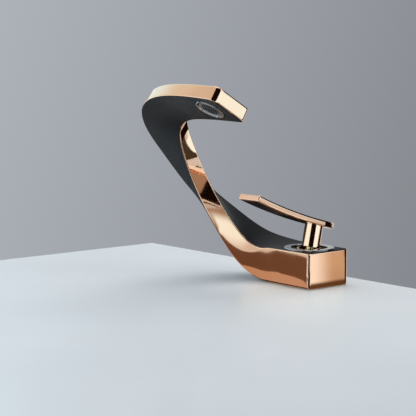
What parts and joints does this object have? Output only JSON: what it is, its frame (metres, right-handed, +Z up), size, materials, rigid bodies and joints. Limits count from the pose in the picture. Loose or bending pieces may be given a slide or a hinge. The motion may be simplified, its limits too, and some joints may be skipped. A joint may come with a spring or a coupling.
{
  "type": "basin mixer faucet",
  "caption": "Single-lever basin mixer: square base, twisted ribbon spout with a slim outlet plate, flat lever on a round stem, ceramic-disc cartridge and deck clamp.",
  "frame": {"origin": "centre of the tap hole on the basin deck, on the axis of the cartridge and of the lever's stem", "axes": "+X to the right along the deck, -Y towards the user and the basin, +Z up from the deck"},
  "size_m": [0.1296, 0.155, 0.232],
  "materials": {
    "rose_gold": "polished rose-gold plating on cast brass",
    "black_coating": "fine matt black coating on the broad faces of the ribbon",
    "nickel": "polished nickel",
    "steel": "zinc-plated or stainless steel",
    "raw_brass": "machined brass",
    "seal_rubber": "moulded black rubber",
    "white_plastic": "moulded natural acetal",
    "grey_plastic": "moulded grey aerator cage",
    "blue_acetal": "moulded blue-grey acetal",
    "ceramic": "lapped alumina ceramic"
  },
  "bodies": {
    "body": {"body_casting": "rose_gold", "base_gasket": "seal_rubber", "mounting_stud": "steel", "clamp_rubber": "seal_rubber", "clamp_plate": "steel", "mounting_nut": "raw_brass", "bonnet_nut": "rose_gold", "trim_ring": "nickel", "cartridge_base": "white_plastic", "cartridge_housing": "white_plastic", "fixed_ceramic_disc": "ceramic", "hot_seal": "seal_rubber", "cold_seal": "seal_rubber", "outlet_seal": "seal_rubber", "aerator_housing": "nickel", "aerator_insert": "grey_plastic", "aerator_washer": "seal_rubber"},
    "swivel": {"rotor_guide": "blue_acetal", "lever_pin": "steel"},
    "handle": {"spindle": "raw_brass", "handle_stem": "rose_gold", "lever_plate": "rose_gold", "stem_screw": "steel", "grub_screw": "steel", "screw_plug": "seal_rubber"},
    "disc_slide": {"disc_carrier": "blue_acetal", "moving_ceramic_disc": "ceramic"}
  },
  "joints": [
    {"name": "temperature_turn", "type": "hinge", "parent": "body", "child": "swivel", "pos_m": [0, 0, 0.022], "axis": [0, 0, 1], "range_deg": [-35, 35]},
    {"name": "lever_lift", "type": "hinge", "parent": "swivel", "child": "handle", "pos_m": [0, 0, 0.022], "axis": [-1, 0, 0], "range_deg": [-12, 8]},
    {"name": "disc_travel", "type": "slide", "parent": "swivel", "child": "disc_slide", "axis": [0, -1, 0], "range_m": [-0.0011, 0.0008]}
  ],
  "couplings": [
    {"joint": "disc_travel", "follows": "lever_lift", "m_per_rad": 0.005}
  ]
}
